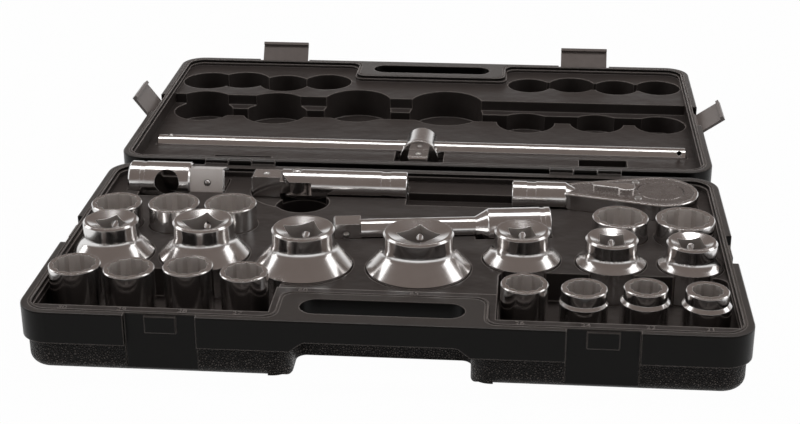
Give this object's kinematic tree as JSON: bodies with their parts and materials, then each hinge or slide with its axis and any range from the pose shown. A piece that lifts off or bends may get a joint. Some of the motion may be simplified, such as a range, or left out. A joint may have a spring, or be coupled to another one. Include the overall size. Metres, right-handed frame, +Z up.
{
  "type": "socket wrench set in case",
  "caption": "Hinged black case, open flat, holding chrome sockets, a ratchet head, flex head, extension, sliding heads and a long sliding bar in moulded pockets.",
  "frame": {"origin": "centre of the flat underside of the case's base", "axes": "+X to the right along the handle side, +Y from the handle to the hinge and on to the open lid, +Z up"},
  "size_m": [0.5955, 0.6522, 0.076],
  "materials": {
    "case_plastic": "grained",
    "tray_plastic": "satin",
    "chrome": "polished",
    "steel": "satin"
  },
  "bodies": {
    "case_base": {"base_shell": "case_plastic", "base_tray": "tray_plastic", "base_tray_rim": "tray_plastic", "hinge_pins": "steel"},
    "case_lid": {"lid_shell": "case_plastic", "lid_tray": "tray_plastic", "lid_tray_rim": "tray_plastic", "latch_pins": "steel"},
    "latch_front_left": {"latch_front_left": "case_plastic"},
    "latch_front_right": {"latch_front_right": "case_plastic"},
    "latch_side_left": {"latch_side_left": "case_plastic"},
    "latch_side_right": {"latch_side_right": "case_plastic"},
    "ratchet": {"ratchet_body": "chrome", "ratchet_cover_plate": "chrome", "ratchet_screws": "steel"},
    "ratchet_drive": {"ratchet_drive_wheel": "chrome"},
    "ratchet_drive_ball": {"ratchet_ball": "steel"},
    "ratchet_reverser": {"ratchet_reversing_lever": "chrome", "ratchet_pawl": "steel"},
    "flex_head": {"flex_head_body": "chrome", "flex_head_pin": "steel"},
    "flex_tang": {"flex_head_tang": "chrome"},
    "flex_tang_ball": {"flex_head_ball": "steel"},
    "one_inch_head": {"sliding_head_1in": "chrome"},
    "one_inch_head_ball": {"sliding_head_1in_ball": "steel"},
    "extension": {"extension_bar": "chrome"},
    "extension_drive_ball": {"extension_ball": "steel"},
    "bar": {"sliding_bar": "chrome"},
    "bar_ball": {"sliding_bar_ball": "steel"},
    "three_quarter_head": {"sliding_head_34in": "chrome"},
    "three_quarter_head_ball": {"sliding_head_34in_ball": "steel"},
    "socket_21mm": {"socket_21mm": "chrome"},
    "socket_22mm": {"socket_22mm": "chrome"},
    "socket_24mm": {"socket_24mm": "chrome"},
    "socket_26mm": {"socket_26mm": "chrome"},
    "socket_27mm": {"socket_27mm": "chrome"},
    "socket_28mm": {"socket_28mm": "chrome"},
    "socket_29mm": {"socket_29mm": "chrome"},
    "socket_30mm": {"socket_30mm": "chrome"},
    "socket_32mm": {"socket_32mm": "chrome"},
    "socket_33mm": {"socket_33mm": "chrome"},
    "socket_34mm": {"socket_34mm": "chrome"},
    "socket_35mm": {"socket_35mm": "chrome"},
    "socket_36mm": {"socket_36mm": "chrome"},
    "socket_38mm": {"socket_38mm": "chrome"},
    "socket_41mm": {"socket_41mm": "chrome"},
    "socket_46mm": {"socket_46mm": "chrome"},
    "socket_50mm": {"socket_50mm": "chrome"},
    "socket_55mm": {"socket_55mm": "chrome"},
    "socket_60mm": {"socket_60mm": "chrome"},
    "socket_65mm": {"socket_65mm": "chrome"}
  },
  "joints": [
    {"name": "lid_hinge", "type": "hinge", "parent": "case_base", "child": "case_lid", "pos_m": [0, 0.162, 0.051], "axis": [-1, 0, 0], "range_deg": [-179.9, 0]},
    {"name": "latch_front_left_hinge", "type": "hinge", "parent": "case_lid", "child": "latch_front_left", "pos_m": [-0.166, 0.4774, 0.042], "axis": [-1, 0, 0], "range_deg": [-35, 75]},
    {"name": "latch_front_right_hinge", "type": "hinge", "parent": "case_lid", "child": "latch_front_right", "pos_m": [0.166, 0.4774, 0.042], "axis": [-1, 0, 0], "range_deg": [-35, 75]},
    {"name": "latch_side_left_hinge", "type": "hinge", "parent": "case_lid", "child": "latch_side_left", "pos_m": [-0.2754, 0.324, 0.042], "axis": [0, -1, 0], "range_deg": [-37, 73]},
    {"name": "latch_side_right_hinge", "type": "hinge", "parent": "case_lid", "child": "latch_side_right", "pos_m": [0.2754, 0.324, 0.042], "axis": [0, 1, 0], "range_deg": [-55, 55]},
    {"name": "ratchet_drive_turn", "type": "hinge", "parent": "ratchet", "child": "ratchet_drive", "pos_m": [0.224, 0.1055, 0.051], "axis": [0, 0, 1], "continuous": true},
    {"name": "reversing_lever_turn", "type": "hinge", "parent": "ratchet", "child": "ratchet_reverser", "pos_m": [0.194, 0.1055, 0.051], "axis": [0, 0, 1], "range_deg": [-20, 20]},
    {"name": "flex_tang_swing", "type": "hinge", "parent": "flex_head", "child": "flex_tang", "pos_m": [-0.1, 0.119, 0.051], "axis": [0, 0, 1], "range_deg": [0, 90]},
    {"name": "three_quarter_head_slide", "type": "slide", "parent": "bar", "child": "three_quarter_head", "axis": [1, 0, 0], "range_m": [-0.004, 0.004]},
    {"name": "bar_lift", "type": "slide", "parent": "case_lid", "child": "bar", "axis": [0, 0, 1], "range_m": [0, 0.06]},
    {"name": "ratchet_lift", "type": "slide", "parent": "case_base", "child": "ratchet", "axis": [0, 0, 1], "range_m": [0, 0.06]},
    {"name": "flex_head_lift", "type": "slide", "parent": "case_base", "child": "flex_head", "axis": [0, 0, 1], "range_m": [0, 0.06]},
    {"name": "one_inch_head_lift", "type": "slide", "parent": "case_base", "child": "one_inch_head", "axis": [0, 0, 1], "range_m": [0, 0.06]},
    {"name": "extension_lift", "type": "slide", "parent": "case_base", "child": "extension", "axis": [0, 0, 1], "range_m": [0, 0.06]},
    {"name": "ratchet_drive_ball_press", "type": "slide", "parent": "ratchet_drive", "child": "ratchet_drive_ball", "axis": [0, 1, 0], "range_m": [0, 0.0012], "stiffness_N_per_m": 100},
    {"name": "flex_tang_ball_press", "type": "slide", "parent": "flex_tang", "child": "flex_tang_ball", "axis": [0, 0, -1], "range_m": [0, 0.0012], "stiffness_N_per_m": 100},
    {"name": "one_inch_head_ball_press", "type": "slide", "parent": "one_inch_head", "child": "one_inch_head_ball", "axis": [0, 0.9563, -0.2924], "range_m": [0, 0.0012], "stiffness_N_per_m": 100},
    {"name": "extension_drive_ball_press", "type": "slide", "parent": "extension", "child": "extension_drive_ball", "axis": [-0.1305, 0.9914, 0], "range_m": [0, 0.0012], "stiffness_N_per_m": 100},
    {"name": "bar_ball_press", "type": "slide", "parent": "bar", "child": "bar_ball", "axis": [0, 0, -1], "range_m": [0, 0.0012], "stiffness_N_per_m": 100},
    {"name": "three_quarter_head_ball_press", "type": "slide", "parent": "three_quarter_head", "child": "three_quarter_head_ball", "axis": [0, 0, -1], "range_m": [0, 0.0012], "stiffness_N_per_m": 100},
    {"name": "socket_21mm_lift", "type": "slide", "parent": "case_base", "child": "socket_21mm", "axis": [0, 0, 1], "range_m": [0, 0.06]},
    {"name": "socket_22mm_lift", "type": "slide", "parent": "case_base", "child": "socket_22mm", "axis": [0, 0, 1], "range_m": [0, 0.06]},
    {"name": "socket_24mm_lift", "type": "slide", "parent": "case_base", "child": "socket_24mm", "axis": [0, 0, 1], "range_m": [0, 0.06]},
    {"name": "socket_26mm_lift", "type": "slide", "parent": "case_base", "child": "socket_26mm", "axis": [0, 0, 1], "range_m": [0, 0.06]},
    {"name": "socket_27mm_lift", "type": "slide", "parent": "case_base", "child": "socket_27mm", "axis": [0, 0, 1], "range_m": [0, 0.06]},
    {"name": "socket_28mm_lift", "type": "slide", "parent": "case_base", "child": "socket_28mm", "axis": [0, 0, 1], "range_m": [0, 0.06]},
    {"name": "socket_29mm_lift", "type": "slide", "parent": "case_base", "child": "socket_29mm", "axis": [0, 0, 1], "range_m": [0, 0.06]},
    {"name": "socket_30mm_lift", "type": "slide", "parent": "case_base", "child": "socket_30mm", "axis": [0, 0, 1], "range_m": [0, 0.06]},
    {"name": "socket_32mm_lift", "type": "slide", "parent": "case_base", "child": "socket_32mm", "axis": [0, 0, 1], "range_m": [0, 0.06]},
    {"name": "socket_33mm_lift", "type": "slide", "parent": "case_base", "child": "socket_33mm", "axis": [0, 0, 1], "range_m": [0, 0.06]},
    {"name": "socket_34mm_lift", "type": "slide", "parent": "case_base", "child": "socket_34mm", "axis": [0, 0, 1], "range_m": [0, 0.06]},
    {"name": "socket_35mm_lift", "type": "slide", "parent": "case_base", "child": "socket_35mm", "axis": [0, 0, 1], "range_m": [0, 0.06]},
    {"name": "socket_36mm_lift", "type": "slide", "parent": "case_base", "child": "socket_36mm", "axis": [0, 0, 1], "range_m": [0, 0.06]},
    {"name": "socket_38mm_lift", "type": "slide", "parent": "case_base", "child": "socket_38mm", "axis": [0, 0, 1], "range_m": [0, 0.06]},
    {"name": "socket_41mm_lift", "type": "slide", "parent": "case_base", "child": "socket_41mm", "axis": [0, 0, 1], "range_m": [0, 0.06]},
    {"name": "socket_46mm_lift", "type": "slide", "parent": "case_base", "child": "socket_46mm", "axis": [0, 0, 1], "range_m": [0, 0.06]},
    {"name": "socket_50mm_lift", "type": "slide", "parent": "case_base", "child": "socket_50mm", "axis": [0, 0, 1], "range_m": [0, 0.06]},
    {"name": "socket_55mm_lift", "type": "slide", "parent": "case_base", "child": "socket_55mm", "axis": [0, 0, 1], "range_m": [0, 0.06]},
    {"name": "socket_60mm_lift", "type": "slide", "parent": "case_base", "child": "socket_60mm", "axis": [0, 0, 1], "range_m": [0, 0.06]},
    {"name": "socket_65mm_lift", "type": "slide", "parent": "case_base", "child": "socket_65mm", "axis": [0, 0, 1], "range_m": [0, 0.06]}
  ]
}
